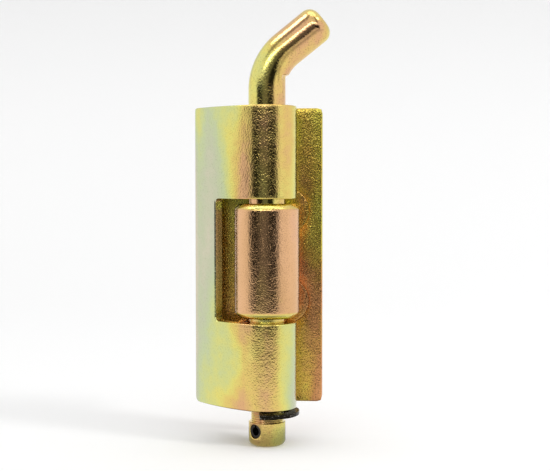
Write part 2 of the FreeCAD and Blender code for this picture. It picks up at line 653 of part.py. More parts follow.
nodes = [
    build_frame_leaf(),
    build_mounting_studs(),
    build_knuckle(),
    build_knuckle_welds(),
    build_wing_leaf(),
    build_hinge_pin(),
    build_retaining_clip(),
    build_spring_pin(),
]
doc.recompute()

# ---------------------------------------------------------------------------------------------------------
# Check and export
# ---------------------------------------------------------------------------------------------------------
for item in doc.Objects:
    if "Invalid" in item.State or "Error" in item.State:
        raise RuntimeError(f"{item.Label} failed: {item.State}")
for node in nodes:
    if node.Shape.isNull() or not node.Shape.isValid():
        raise RuntimeError(f"{node.Label} has no valid shape")

os.makedirs("parts", exist_ok=True)
for node in nodes:
    node.Shape.exportStep(f"parts/{node.Label}.step")
    print(f"{node.Label}: {len(node.Shape.Solids)} solid(s), {node.Shape.Volume:.1f} mm3")
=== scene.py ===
import json
import math
import bmesh
import bpy
import numpy as np
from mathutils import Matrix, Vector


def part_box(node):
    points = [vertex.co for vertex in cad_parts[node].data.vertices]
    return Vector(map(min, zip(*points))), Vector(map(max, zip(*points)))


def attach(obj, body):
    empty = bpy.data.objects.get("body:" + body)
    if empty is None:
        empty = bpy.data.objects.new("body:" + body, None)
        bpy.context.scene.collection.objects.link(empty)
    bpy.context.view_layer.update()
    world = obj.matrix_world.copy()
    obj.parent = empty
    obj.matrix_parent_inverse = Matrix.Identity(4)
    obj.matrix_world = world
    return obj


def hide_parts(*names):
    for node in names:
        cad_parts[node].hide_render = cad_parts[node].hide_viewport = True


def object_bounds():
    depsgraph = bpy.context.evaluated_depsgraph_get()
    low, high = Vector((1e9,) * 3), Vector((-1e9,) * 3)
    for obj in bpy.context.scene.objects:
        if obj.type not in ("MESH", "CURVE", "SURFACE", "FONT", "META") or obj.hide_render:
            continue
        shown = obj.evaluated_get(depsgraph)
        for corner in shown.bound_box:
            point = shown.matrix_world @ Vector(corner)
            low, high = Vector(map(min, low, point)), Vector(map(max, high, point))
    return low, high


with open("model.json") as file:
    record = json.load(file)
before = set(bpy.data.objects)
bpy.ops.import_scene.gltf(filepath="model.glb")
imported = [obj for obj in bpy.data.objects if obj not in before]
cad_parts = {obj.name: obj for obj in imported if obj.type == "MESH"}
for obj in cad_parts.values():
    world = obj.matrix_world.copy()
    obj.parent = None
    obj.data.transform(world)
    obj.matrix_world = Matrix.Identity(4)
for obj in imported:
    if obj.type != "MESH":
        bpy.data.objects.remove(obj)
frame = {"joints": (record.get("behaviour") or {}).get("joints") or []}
cad_low, cad_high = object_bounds()


# ---------------------------------------------------------------------------------------------------------
# Studio: white paper under the hinge, swept up behind it, soft light from the sides, the front and above,
# and an unlit room behind the camera, which shows as the dark streaks in round metal.
# ---------------------------------------------------------------------------------------------------------
mm = 0.001
degree = math.radians(1)
hinge_joint = next(joint for joint in frame["joints"] if joint["name"] == "wing_swing")
pin_x, pin_y, _ = hinge_joint["pos_m"]
hinge_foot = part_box("wing_leaf")[0].z


def nodes_of(tree):
    """A clean node tree and a function that adds a node: its settings, then its inputs, set or wired."""
    tree.nodes.clear()

    def add(kind, inputs=None, **settings):
        item = tree.nodes.new(kind)
        for name, value in settings.items():
            setattr(item, name, value)
        for name, value in (inputs or {}).items():
            if isinstance(value, bpy.types.NodeSocket):
                tree.links.new(value, item.inputs[name])
            else:
                item.inputs[name].default_value = value
        return item

    return add


def calc(add, operation, *values):
    """One Math node; returns its result."""
    return add("ShaderNodeMath", dict(enumerate(values)), operation=operation).outputs[0]


def smooth_step(add, value, low, high, bottom, top):
    """Eased change of a value from bottom to top as it goes from low to high."""
    item = add("ShaderNodeMapRange", {0: value, 1: low, 2: high, 3: bottom, 4: top},
               interpolation_type="SMOOTHERSTEP")
    return item.outputs[0]


def grid_quads(rows, columns, close_rows=False, close_columns=False):
    """Corner numbers of the cells of a grid whose points are numbered row by row."""
    row = np.arange(rows if close_rows else rows - 1)[:, None]
    column = np.arange(columns if close_columns else columns - 1)[None, :]
    next_row = (row + 1) % rows
    next_column = (column + 1) % columns
    corners = (row * columns + column, row * columns + next_column,
               next_row * columns + next_column, next_row * columns + column)
    return np.stack(corners, axis=-1).reshape(-1, 4)


def grey(add, value):
    """The same value in red, green and blue."""
    return add("ShaderNodeCombineColor", {0: value, 1: value, 2: value}).outputs[0]


def make_studio():
    """What the metal sees goes by direction. There is a light each side and a light ceiling, three brighter
    boxes in front, beside and overhead, and a gap at each front corner of the ceiling. The room is dark
    between the side lights, a little less so straight behind the camera, and light again near the floor.
    Everything else sees an even sky."""
    world = bpy.data.worlds.new("studio")
    bpy.context.scene.world = world
    world.use_nodes = True
    add = nodes_of(world.node_tree)
    direction = add("ShaderNodeSeparateXYZ", {0: add("ShaderNodeTexCoord").outputs["Generated"]})
    east, north, up = direction.outputs
    bearing = calc(add, "ARCTAN2", east, calc(add, "MULTIPLY", north, -1.0))
    round_angle = calc(add, "ABSOLUTE", calc(add, "ADD", bearing, 7 * degree))
    side_light = smooth_step(add, round_angle, 40 * degree, 66 * degree, 0.0, 1.06)
    ceiling = smooth_step(add, up, 0.07, 0.24, 0.0, 1.0)
    lit = calc(add, "MAXIMUM", side_light, ceiling)
    front_box = (0.33, 0.07, 0, 34 * degree, 3.8)
    side_box = (0.80, 0.09, 78 * degree, 20 * degree, 3.4)
    overhead_box = (1.0, 0.10, 0, 4.0, 1.2)
    for height, half_high, angle, half_wide, strength in (front_box, side_box, overhead_box):
        rise = calc(add, "ABSOLUTE", calc(add, "SUBTRACT", up, height))
        aside = calc(add, "ABSOLUTE", calc(add, "SUBTRACT", round_angle, angle))
        box = calc(add, "MULTIPLY", smooth_step(add, rise, half_high * 0.5, half_high, strength, 0.0),
                   smooth_step(add, aside, half_wide * 0.7, half_wide, 1.0, 0.0))
        lit = calc(add, "ADD", lit, box)
    off_corner = calc(add, "ABSOLUTE", calc(add, "SUBTRACT", round_angle, 42 * degree))
    gap = calc(add, "MULTIPLY", smooth_step(add, off_corner, 6 * degree, 14 * degree, 0.6, 0.0),
               smooth_step(add, up, 0.40, 0.55, 0.0, 1.0))
    lit = calc(add, "MULTIPLY", lit, calc(add, "SUBTRACT", 1.0, gap))
    camera_glow = smooth_step(add, round_angle, 8 * degree, 24 * degree, 0.16, 0.018)
    floor_light = smooth_step(add, up, -0.30, -0.16, 0.80, 0.0)
    studio_light = calc(add, "MAXIMUM", calc(add, "MAXIMUM", lit, camera_glow), floor_light)
    glossy = add("ShaderNodeBackground", {0: grey(add, studio_light), 1: 1.0})
    plain = add("ShaderNodeBackground", {0: grey(add, 0.96), 1: 1.0})
    glossy_ray = add("ShaderNodeLightPath").outputs["Is Glossy Ray"]
    both = add("ShaderNodeMixShader", {0: glossy_ray, 1: plain.outputs[0], 2: glossy.outputs[0]})
    add("ShaderNodeOutputWorld", {0: both.outputs[0]})


def make_table():
    """A roll of paper: level, then a quarter circle, then upright behind the hinge; painted shade darkens
    it higher up.
    In the metal it glows, a painted reflection, with painted shade darker in front and round the hinge's
    foot, and the sheet further forward doesn't show at all."""
    sweep_r, sweep_starts, wall_high = 0.7, 0.25, 1.3
    front, far_front, half_wide = -0.21, -1.8, 1.6
    turn = np.linspace(0, math.pi / 2, 40)
    level = np.linspace(front, sweep_starts, 12)[:-1]
    along = np.concatenate([level, sweep_starts + sweep_r * np.sin(turn), [sweep_starts + sweep_r]])
    rise = np.concatenate([level * 0, sweep_r * (1 - np.cos(turn)), [wall_high]])
    side = np.array([-half_wide, half_wide])[:, None]
    apron_along = np.array([far_front, front])
    sheets = []
    for name, out, high in (("table", along, rise), ("table_front", apron_along, apron_along * 0)):
        points = np.stack(np.broadcast_arrays(side, out, cad_low.z + high), axis=-1).reshape(-1, 3)
        mesh = bpy.data.meshes.new(name)
        mesh.from_pydata(points.tolist(), [], grid_quads(2, len(out)).tolist())
        mesh.shade_smooth()
        sheets.append(bpy.data.objects.new(name, mesh))
        bpy.context.scene.collection.objects.link(sheets[-1])
    sheets[1].visible_glossy = False
    paper = bpy.data.materials.new("white_paper")
    paper.use_nodes = True
    add = nodes_of(paper.node_tree)
    place = add("ShaderNodeTexCoord").outputs["Object"]
    _, depth, height = add("ShaderNodeSeparateXYZ", {0: place}).outputs
    paper_tone_and_painted_shade = add("ShaderNodeTexNoise", {"Vector": place, "Scale": 900.0}).outputs[0]
    paper_tone_and_painted_shade = add("ShaderNodeMapRange", {0: paper_tone_and_painted_shade, 3: 0.975, 4: 0.995}).outputs[0]
    # Painted shade: the paper is made darker higher up the wall behind the hinge.
    paper_tone_and_painted_shade = calc(add, "MULTIPLY", paper_tone_and_painted_shade, smooth_step(add, height, -0.04, 0.35, 1.0, 0.84))
    surface = add("ShaderNodeBsdfPrincipled", {"Base Color": grey(add, paper_tone_and_painted_shade), "Roughness": 0.8,
                                               "Specular IOR Level": 0.1})
    # Painted glow and painted shade for glossy rays: the paper seen in the metal is an emitter, darker in
    # front towards the camera and round the hinge's foot.
    from_foot = add("ShaderNodeVectorMath", {0: place, 1: (pin_x, pin_y, cad_low.z)}, operation="DISTANCE")
    painted_shade = calc(add, "MULTIPLY", smooth_step(add, depth, -0.20, -0.07, 0.45, 1.0),
                  smooth_step(add, from_foot.outputs["Value"], 6 * mm, 36 * mm, 0.40, 1.0))
    painted_shade_tone = calc(add, "MULTIPLY", paper_tone_and_painted_shade, painted_shade)
    painted_glow = add("ShaderNodeEmission", {0: grey(add, painted_shade_tone), 1: 1.08})
    glossy_ray = add("ShaderNodeLightPath").outputs["Is Glossy Ray"]
    both = add("ShaderNodeMixShader", {0: glossy_ray, 1: surface.outputs[0], 2: painted_glow.outputs[0]})
    add("ShaderNodeOutputMaterial", {0: both.outputs[0]})
    for sheet in sheets:
        sheet.data.materials.append(paper)


def make_lamp():
    """A disk lamp on the right, in front and above, throws the one shadow that shows."""
    lamp = bpy.data.objects.new("lamp", bpy.data.lights.new("lamp", "AREA"))
    bpy.context.scene.collection.objects.link(lamp)
    lamp.data.shape = "DISK"
    lamp.data.size = 0.12
    lamp.data.energy = 1.2
    lamp.visible_glossy = False
    lamp.location = (0.50, -0.22, 0.24)
    lamp.rotation_euler = (-lamp.location).to_track_quat("-Z", "Y").to_euler()


def make_camera():
    """Three quarters of the way up the hinge, 5 degrees to the right of square on, looking a bit down."""
    camera = bpy.data.objects.new("camera", bpy.data.cameras.new("camera"))
    bpy.context.scene.collection.objects.link(camera)
    bpy.context.scene.camera = camera
    camera.data.sensor_width = 36.0
    camera.data.lens = 74.8
    camera.data.clip_start = 0.01
    swing = 5.0 * degree
    distance = 0.246
    height = 48.6 * mm
    looks_down, looks_aside = 2.644 * degree, 0.40 * degree
    camera.location = (pin_x + distance * math.sin(swing), pin_y - distance * math.cos(swing),
                       hinge_foot + height)
    camera.rotation_euler = (90 * degree - looks_down, 0, swing - looks_aside)


make_studio()
make_table()
make_lamp()
make_camera()
bpy.context.scene.view_settings.view_transform = "Standard"


# ---------------------------------------------------------------------------------------------------------
# Wing leaf: one blank of 2.3 mm steel, notched, its edges tumbled round, then rolled round the pin so that
# a gently curved wing runs out from two barrels. It is zinc plated and yellow passivated.
# ---------------------------------------------------------------------------------------------------------
def new_piece(name, points, faces, material, body, slot, *nodes, smooth_below=40):
    """A closed mesh from points in metres: doubles merged, faces outwards, smooth up to an angle. A cell
    that names a corner twice becomes a triangle, and points that no face uses are dropped."""
    mesh = bpy.data.meshes.new(name)
    cells = [tuple(dict.fromkeys(face)) for face in faces]
    mesh.from_pydata(points.reshape(-1, 3).tolist(), [], [cell for cell in cells if len(cell) > 2])
    build = bmesh.new()
    build.from_mesh(mesh)
    bmesh.ops.remove_doubles(build, verts=build.verts, dist=1e-7)
    bmesh.ops.dissolve_degenerate(build, edges=build.edges, dist=1e-8)
    bmesh.ops.delete(build, geom=[point for point in build.verts if not point.link_faces], context="VERTS")
    bmesh.ops.recalc_face_normals(build, faces=build.faces)
    build.to_mesh(mesh)
    build.free()
    mesh.shade_smooth()
    mesh.set_sharp_from_angle(angle=math.radians(smooth_below))
    mesh.materials.append(material)
    piece = bpy.data.objects.new(name, mesh)
    bpy.context.scene.collection.objects.link(piece)
    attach(piece, body)
    if nodes:
        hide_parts(*nodes)
    return piece


def spaced(stops, step):
    """Grid lines through every stop, with even steps between them of about the given size."""
    lines = [np.linspace(low, high, max(1, round((high - low) / step)) + 1)[:-1]
             for low, high in zip(stops, stops[1:])]
    return np.append(np.concatenate(lines), stops[-1])


def round_corner(flat, corner, inward, radius):
    """Pull a grid's square corner in to an arc: a point keeps its direction from the arc's centre, and its
    larger coordinate becomes its distance from it."""
    centre = np.array(corner) + np.array(inward) * radius
    offset = (flat - centre) * -np.array(inward) / radius
    inside = (offset >= -1e-6).all(axis=1) & (offset <= 1 + 1e-6).all(axis=1)
    length = np.hypot(*offset.T)
    scale = np.where(inside & (length > 1e-9), offset.max(axis=1) / np.maximum(length, 1e-9), 1.0)
    return centre + (flat - centre) * scale[:, None]


def corner_fill(corner, outward, radius, steps):
    """Quads that round a notch's inner corner: from the two straight sides to the arc between them."""
    run = np.linspace(1, 0, steps + 1)
    zero = np.zeros(steps)
    sides = np.stack([np.append(run, zero), np.append(np.zeros(steps + 1), run[::-1][1:])], axis=1)
    turn = np.linspace(-math.pi / 2, -math.pi, 2 * steps + 1)
    arc = 1 + np.stack([np.cos(turn), np.sin(turn)], axis=1)
    points = np.array(corner) + np.concatenate([sides, arc]) * radius * np.array(outward)
    return points, grid_quads(2, 2 * steps + 1)


def rounded_plate(flat, quads, lay, thick, edge, steps=5, bored=lambda middles: False):
    """A sheet of quads given a thickness and round edges. Each point of the outline is carried out along
    the outline's normal by edge * sin(a) and down by edge * (1 - cos(a)), down the wall, and back under.
    Where bored says so the outline is a window that another part of the mesh fills."""
    sides = quads[:, [[0, 1], [1, 2], [2, 3], [3, 0]]].reshape(-1, 2)
    sides = sides[sides[:, 0] != sides[:, 1]]
    _, first, count = np.unique(np.sort(sides, axis=1), axis=0, return_index=True, return_counts=True)
    outline = sides[first[count == 1]]
    outline = outline[~(np.zeros(len(outline), bool) | bored(flat[outline].mean(axis=1)))]
    along = flat[outline[:, 1]] - flat[outline[:, 0]]
    across = np.stack([along[:, 1], -along[:, 0]], axis=1)
    across /= np.hypot(*across.T)[:, None]
    normal = np.zeros_like(flat)
    np.add.at(normal, outline[:, 0], across)
    np.add.at(normal, outline[:, 1], across)
    rim, place_in_rim = np.unique(outline, return_inverse=True)
    rim_normal = normal[rim] / np.hypot(*normal[rim].T)[:, None]
    turn = np.linspace(0, math.pi / 2, steps + 1)[:, None]
    out = np.concatenate([edge * np.sin(turn), edge * np.sin(turn[::-1])])
    down = np.concatenate([edge * (1 - np.cos(turn)), thick - edge * (1 - np.cos(turn[::-1]))])
    ring = flat[rim][None] + rim_normal[None] * out[..., None]
    rings = lay(ring[..., 0], ring[..., 1], down)
    upper = lay(flat[:, 0], flat[:, 1], 0.0)
    lower = lay(flat[:, 0], flat[:, 1], thick)
    count_flat, count_rim = len(flat), len(rim)
    start, end = place_in_rim.reshape(-1, 2).T
    level = np.arange(len(out) - 1)[:, None] * count_rim
    next_level = level + count_rim
    walls = np.stack([level + end, level + start, next_level + start, next_level + end], axis=-1)
    points = np.concatenate([upper, lower, rings.reshape(-1, 3)])
    under = quads[:, ::-1] + count_flat
    faces = np.concatenate([quads, under, walls.reshape(-1, 4) + 2 * count_flat])
    return points, faces.tolist()


def welded(points, faces):
    """The same mesh with points that coincide made one, so that its outline can be found."""
    _, first, same = np.unique(np.round(points / 1e-7), axis=0, return_index=True, return_inverse=True)
    return points[first], same.reshape(-1)[np.array(faces)]


hinge_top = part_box("wing_leaf")[1].z
hinge_high = hinge_top - hinge_foot
notch_drop = 0.6 * mm
plate = 2.3 * mm
bore_r = 4.1 * mm
barrel_r = bore_r + plate
curve_r = 40 * mm
curve_arm = curve_r - barrel_r
wing_reach, notch_reach, half_notch_high = 16.5 * mm, 11.3 * mm, 13.25 * mm
barrel_leaves = 27 * degree
curve_middle = np.array([math.sin(barrel_leaves), math.cos(barrel_leaves)]) * curve_arm
wing_ends = math.asin((curve_middle[0] + wing_reach) / curve_r)
notch_begins = math.asin((curve_middle[0] + notch_reach) / curve_r)
curve_long = curve_r * (wing_ends - barrel_leaves)
seam_r = curve_r - plate - 0.3 * mm
seam_opening = math.acos((barrel_r ** 2 + curve_arm ** 2 - seam_r ** 2) / (2 * barrel_r * curve_arm))
blank_long = curve_long + barrel_r * (math.pi + seam_opening)


def rolled(along, up, depth):
    """A point of the flat blank on the rolled plate. Along the blank, the outer face is an arc of the wide
    curve and then of the barrel; depth goes from it towards that arc's centre."""
    along, up, depth = np.broadcast_arrays(along, up, depth)
    on_wing = along < curve_long
    angle = np.where(on_wing, wing_ends - along / curve_r, barrel_leaves - (along - curve_long) / barrel_r)
    radius = np.where(on_wing, curve_r, barrel_r) - depth
    x = np.where(on_wing, curve_middle[0], 0) - radius * np.sin(angle)
    y = np.where(on_wing, curve_middle[1], 0) - radius * np.cos(angle)
    return np.stack([pin_x + x, pin_y + y, hinge_foot + up], axis=-1)


def wing_blank(edge):
    """The flat blank, inside its round edges: a rectangle less the knuckle's notch."""
    top_corner, foot_corner, notch_corner, cell = 0.55 * mm, 1.3 * mm, 0.8 * mm, 0.5 * mm
    left, right, foot, top = edge, blank_long - edge, edge, hinge_high - edge
    notch_left = curve_r * (wing_ends - notch_begins) - edge
    half_notch = half_notch_high + edge
    notch_middle = hinge_high / 2 - notch_drop
    notch_foot, notch_top = notch_middle - half_notch, notch_middle + half_notch
    fillet = notch_corner + edge
    columns = spaced([left, left + foot_corner, notch_left, notch_left + fillet, curve_long], cell)
    barrel = spaced([curve_long, right - 0.4 * mm, right], 0.28 * mm)
    columns = np.concatenate([columns, barrel[1:]])
    rows = spaced([foot, foot + foot_corner, notch_foot, notch_foot + fillet, notch_top - fillet, notch_top,
                   top - foot_corner, top], cell)
    along, up = np.meshgrid(columns, rows)
    flat = np.stack([along.ravel(), up.ravel()], axis=1)
    quads = grid_quads(len(rows), len(columns))
    middle = flat[quads].mean(axis=1)
    quads = quads[~((middle[:, 0] > notch_left) & (abs(middle[:, 1] - notch_middle) < half_notch))]
    flat = round_corner(flat, (left, foot), (1, 1), foot_corner - edge)
    flat = round_corner(flat, (left, top), (1, -1), top_corner - edge)
    steps = round(fillet / cell)
    for level, outward in ((notch_foot, (1, 1)), (notch_top, (1, -1))):
        points, extra = corner_fill((notch_left, level), outward, fillet, steps)
        if outward[1] > 0:
            extra = extra[:, ::-1]
        quads = np.concatenate([quads, extra + len(flat)])
        flat = np.concatenate([flat, points])
    return welded(flat, quads)


def shader_group(name, inputs, outputs):
    """A node group with its sockets: name, kind and default of each input; name and kind of each output.
    Returns the group, the function that adds nodes, and the input sockets by name."""
    group = bpy.data.node_groups.new(name, "ShaderNodeTree")
    for label, kind, default in inputs:
        socket = group.interface.new_socket(label, in_out="INPUT", socket_type=kind)
        if default is not None:
            socket.default_value = default
    for label, kind in outputs:
        group.interface.new_socket(label, in_out="OUTPUT", socket_type=kind)
    add = nodes_of(group)
    return group, add, add("NodeGroupInput").outputs


def ramp(add, value, stops):
    """A colour ramp node from (place, colour) pairs."""
    item = add("ShaderNodeValToRGB", {0: value})
    elements = item.color_ramp.elements
    while len(elements) < len(stops):
        elements.new(0.5)
    for element, (place, colour) in zip(elements, stops):
        element.position = place
        element.color = colour
    return item.outputs[0]


def linear(red, green, blue):
    """A colour picked on a screen, from 0 to 255, as Blender's linear colour."""
    screen = np.array([red, green, blue]) / 255
    light = np.where(screen <= 0.04045, screen / 12.92, ((screen + 0.055) / 1.055) ** 2.4)
    return (*[float(part) for part in light], 1.0)


def make_film_group():
    """Yellow passivation: a thin film whose colour goes round with its thickness, from silver and green
    through yellow and tan to pink. Its thickness drifts in clouds that ran down while it dried."""
    group, add, given = shader_group(
        "passivation_film",
        [("Film", "NodeSocketFloat", 0.5), ("Drift", "NodeSocketFloat", 0.2),
         ("Soil", "NodeSocketFloat", 0.3), ("Deepen", "NodeSocketFloat", 1.0)],
        [("Colour", "NodeSocketColor")])
    place = add("ShaderNodeTexCoord").outputs["Object"]
    runs = add("ShaderNodeMapping", {0: place, "Scale": (1.0, 1.0, 0.38)}).outputs[0]
    clouds = add("ShaderNodeTexNoise", {"Vector": runs, "Scale": 75.0, "Detail": 1.6,
                                        "Distortion": 0.5}).outputs[0]
    mottle = add("ShaderNodeTexNoise", {"Vector": place, "Scale": 520.0, "Detail": 4.0}).outputs[0]
    drift = calc(add, "SUBTRACT", calc(add, "MULTIPLY_ADD", mottle, 0.16, clouds), 0.58)
    film = calc(add, "MULTIPLY_ADD", drift, calc(add, "MULTIPLY", given["Drift"], 3.2), given["Film"])
    colour = ramp(add, film, [(0.00, linear(206, 198, 176)), (0.12, linear(192, 196, 166)),
                              (0.21, linear(192, 202, 158)), (0.31, linear(204, 208, 138)),
                              (0.42, linear(222, 212, 118)), (0.53, linear(222, 192, 112)),
                              (0.64, linear(216, 170, 122)), (0.76, linear(226, 178, 134)),
                              (0.88, linear(214, 164, 148)), (1.00, linear(200, 188, 116))])
    colour = add("ShaderNodeGamma", {0: colour, 1: given["Deepen"]}).outputs[0]
    specks = add("ShaderNodeTexNoise", {"Vector": place, "Scale": 3300.0, "Detail": 2.0}).outputs[0]
    soil = calc(add, "MULTIPLY", smooth_step(add, specks, 0.53, 0.72, 0.0, 1.0), given["Soil"])
    soiled = add("ShaderNodeMix", {0: soil, 6: colour, 7: linear(96, 74, 40)}, data_type="RGBA")
    add("NodeGroupOutput", {0: soiled.outputs[2]})
    return group


def make_grain_group():
    """Tumbled steel under thin plating: fine pits and bumps that break up every reflection. Gives the
    bumped normal, and a roughness that is a little more on the bumps and less in the pits."""
    group, add, given = shader_group(
        "plated_grain",
        [("Depth", "NodeSocketFloat", 1.0), ("Roughness", "NodeSocketFloat", 0.12)],
        [("Normal", "NodeSocketVector"), ("Roughness", "NodeSocketFloat")])
    place = add("ShaderNodeTexCoord").outputs["Object"]
    fine = add("ShaderNodeTexNoise", {"Vector": place, "Scale": 2900.0, "Detail": 2.0,
                                      "Roughness": 0.5}).outputs[0]
    broad = add("ShaderNodeTexNoise", {"Vector": place, "Scale": 330.0, "Detail": 2.0}).outputs[0]
    height = calc(add, "MULTIPLY_ADD", broad, 1.2, fine)
    bump = add("ShaderNodeBump", {"Height": height, "Strength": given["Depth"], "Distance": 5.0e-5})
    rough = calc(add, "MULTIPLY_ADD", calc(add, "SUBTRACT", fine, 0.5), 0.25, given["Roughness"])
    smoothest = 0.04
    add("NodeGroupOutput", {0: bump.outputs[0], 1: calc(add, "MAXIMUM", rough, smoothest)})
    return group


film_group = make_film_group()
grain_group = make_grain_group()


def mark_cut(piece, across_plate):
    """Note on each face of a plate whether it belongs to the sheared edge. across_plate gives the plate's
    own normal at the faces' centres."""
    count = len(piece.data.polygons)
    centres, normals = np.empty(count * 3), np.empty(count * 3)
    piece.data.polygons.foreach_get("center", centres)
    piece.data.polygons.foreach_get("normal", normals)
    facing = abs((normals.reshape(-1, 3) * across_plate(centres.reshape(-1, 3))).sum(axis=1))
    note = piece.data.attributes.new("cut", "FLOAT", "FACE")
    note.data.foreach_set("value", (facing < 0.25).astype(np.float32))


def grouped(add, group, inputs):
    """A group placed in a material with its own values; returns its outputs."""
    item = add("ShaderNodeGroup", node_tree=group)
    for name, value in inputs.items():
        if isinstance(value, bpy.types.NodeSocket):
            item.id_data.links.new(value, item.inputs[name])
        else:
            item.inputs[name].default_value = value
    return item.outputs


def passivated(name, across, drift, soil, depth, roughness, deepen=1.0, axis=0):
    """Zinc plate with yellow passivation. across lists (place on the axis, film thickness): x from the
    pin, or height. A sheared edge is a little duller."""
    material = bpy.data.materials.new(name)
    material.use_nodes = True
    add = nodes_of(material.node_tree)
    low, high = across[0][0], across[-1][0]
    place = add("ShaderNodeSeparateXYZ", {0: add("ShaderNodeTexCoord").outputs["Object"]}).outputs[axis]
    start = pin_x if axis == 0 else 0
    share = add("ShaderNodeMapRange", {0: place, 1: start + low, 2: start + high}).outputs[0]
    stops = [((stop - low) / (high - low), (value, value, value, 1)) for stop, value in across]
    film = ramp(add, share, stops)
    cut = add("ShaderNodeAttribute", attribute_name="cut").outputs["Fac"]
    roughness = calc(add, "MULTIPLY_ADD", cut, 0.16, roughness)
    tint = grouped(add, film_group, {"Film": film, "Drift": drift, "Soil": soil, "Deepen": deepen})
    grain = grouped(add, grain_group, {"Depth": depth, "Roughness": roughness})
    surface = add("ShaderNodeBsdfPrincipled", {
        "Base Color": tint["Colour"], "Metallic": 1.0,
        "Normal": grain["Normal"], "Roughness": grain["Roughness"]})
    add("ShaderNodeOutputMaterial", {0: surface.outputs[0]})
    return material


wing_edge = 0.3 * mm
wing_metal = passivated("wing_zinc", (
    (-16.5 * mm, 0.08), (-15.4 * mm, 0.27), (-10 * mm, 0.30), (-8 * mm, 0.36), (-6.2 * mm, 0.43),
    (-4.6 * mm, 0.58), (0.5 * mm, 0.62), (2.4 * mm, 0.53), (3.6 * mm, 0.43), (5.2 * mm, 0.38),
    (6.4 * mm, 0.26)), drift=0.34, soil=0.12, depth=1.0, roughness=0.09)
wing = new_piece("wing", *rounded_plate(*wing_blank(wing_edge), rolled, plate, wing_edge), wing_metal,
                 "wing", "wing_zinc", "wing_leaf")


def across_rolled(centres):
    """From the wide curve's middle on the wing, and from the pin on the barrel."""
    out = centres[:, :2] - np.array([pin_x, pin_y])
    on_wing = out[:, 0] < -barrel_r * math.sin(barrel_leaves)
    out = np.where(on_wing[:, None], out - curve_middle, out)
    return np.column_stack([out / np.hypot(*out.T)[:, None], np.zeros(len(out))])


mark_cut(wing, across_rolled)


# ---------------------------------------------------------------------------------------------------------
# Frame leaf: a flat 3 mm steel plate, sheared and tumbled, with two stepped holes that the studs' heads
# are pressed into from the front. Zinc plated and passivated, which is darker and browner here.
# ---------------------------------------------------------------------------------------------------------
def window_outline(across, up):
    """Points round a rectangular window, anticlockwise, on the grid lines that bound and cross it."""
    low, high = np.full(len(across), up[0]), np.full(len(across), up[-1])
    left, right = np.full(len(up), across[0]), np.full(len(up), across[-1])
    sides = ((across[:-1], low[:-1]), (right[:-1], up[:-1]),
             (across[:0:-1], high[:-1]), (left[:-1], up[:0:-1]))
    return np.concatenate([np.stack(side, axis=1) for side in sides])


def between(lines, low, high):
    """The grid lines from low to high."""
    return lines[(lines > low - 1e-7) & (lines < high + 1e-7)]


def bored_window(outline, centre, profile):
    """Rings from a window's outline to a round hole: each step of the profile is a radius and a depth."""
    out = outline - np.array(centre)
    unit = out / np.hypot(*out.T)[:, None]
    rings = [np.array(centre) + unit * radius for radius, _ in profile]
    return np.array(rings), np.array([depth for _, depth in profile])


def joined(*parts):
    """Several lists of points and faces as one."""
    points, faces, count = [], [], 0
    for part_points, part_faces in parts:
        points.append(part_points.reshape(-1, 3))
        faces += [[int(corner) + count for corner in face] for face in part_faces]
        count += len(points[-1])
    return np.concatenate(points), faces


leaf_low, leaf_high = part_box("frame_leaf")
leaf_thick = leaf_high.y - leaf_low.y
stud_heights = (-10 * mm, 10 * mm)
stud_head_r, stud_head_thick, stud_collar_r = 5 * mm, 1.5 * mm, 3.4 * mm


def on_leaf(x, z, depth):
    """Depth goes back from the leaf's front."""
    x, z, depth = np.broadcast_arrays(x, z, depth)
    return np.stack([x, leaf_low.y + depth, z], axis=-1)


def leaf_plate():
    """A rectangle with two round holes that step from the stud's head down to its collar."""
    edge, corner, half = 0.4 * mm, 0.8 * mm, 6.4 * mm
    left, right, foot, top = leaf_low.x + edge, leaf_high.x - edge, leaf_low.z + edge, leaf_high.z - edge
    columns = spaced([left, left + corner, -half, half, right - corner, right], 1.1 * mm)
    windows = [(height - half, height + half) for height in stud_heights]
    rows = spaced([foot, foot + corner, *windows[0], *windows[1], top - corner, top], 1.1 * mm)
    across, up = np.meshgrid(columns, rows)
    flat = np.stack([across.ravel(), up.ravel()], axis=1)
    quads = grid_quads(len(rows), len(columns))
    middle = flat[quads].mean(axis=1)

    def near_stud(points):
        """Inside the square window round either stud."""
        return (abs(points[:, 0]) < half + 1e-6) & (abs(abs(points[:, 1]) - stud_heights[1]) < half + 1e-6)

    quads = quads[~near_stud(middle)]
    for corner_x, inward_x in ((left, 1), (right, -1)):
        for corner_z, inward_z in ((foot, 1), (top, -1)):
            flat = round_corner(flat, (corner_x, corner_z), (inward_x, inward_z), corner - edge)
    sheet = rounded_plate(flat, quads, on_leaf, leaf_thick, edge, bored=near_stud)
    turn = np.linspace(0, math.pi / 2, 4)
    rim = 0.12 * mm
    front_rim = [(stud_head_r + rim * (1 - math.sin(a)), rim * (1 - math.cos(a))) for a in turn]
    back_rim = [(stud_collar_r + rim * (1 - math.cos(a)), leaf_thick - rim * (1 - math.sin(a)))
                for a in turn]
    profile = [*front_rim, (stud_head_r, stud_head_thick), (stud_collar_r, stud_head_thick), *back_rim]
    holes = []
    for height, (low, high) in zip(stud_heights, windows):
        outline = window_outline(between(columns, -half, half), between(rows, low, high))
        rings, depths = bored_window(outline, (0, height), profile)
        rings = np.concatenate([outline[None], rings, outline[None]])
        depths = np.concatenate([[0], depths, [leaf_thick]])[:, None]
        points = on_leaf(rings[..., 0], rings[..., 1], depths)
        holes.append((points, grid_quads(len(rings), len(outline), close_columns=True)))
    return joined(sheet, *holes)


leaf_metal = passivated("leaf_zinc", (
    (-32.5 * mm, 0.62), (-5 * mm, 0.58), (14 * mm, 0.50), (32.5 * mm, 0.44)),
    drift=0.30, soil=1.0, depth=1.0, roughness=0.22, deepen=1.38, axis=2)
leaf = new_piece("leaf", *leaf_plate(), leaf_metal, "frame", "leaf_zinc", "frame_leaf")
mark_cut(leaf, lambda centres: np.array([[0, 1, 0]]))


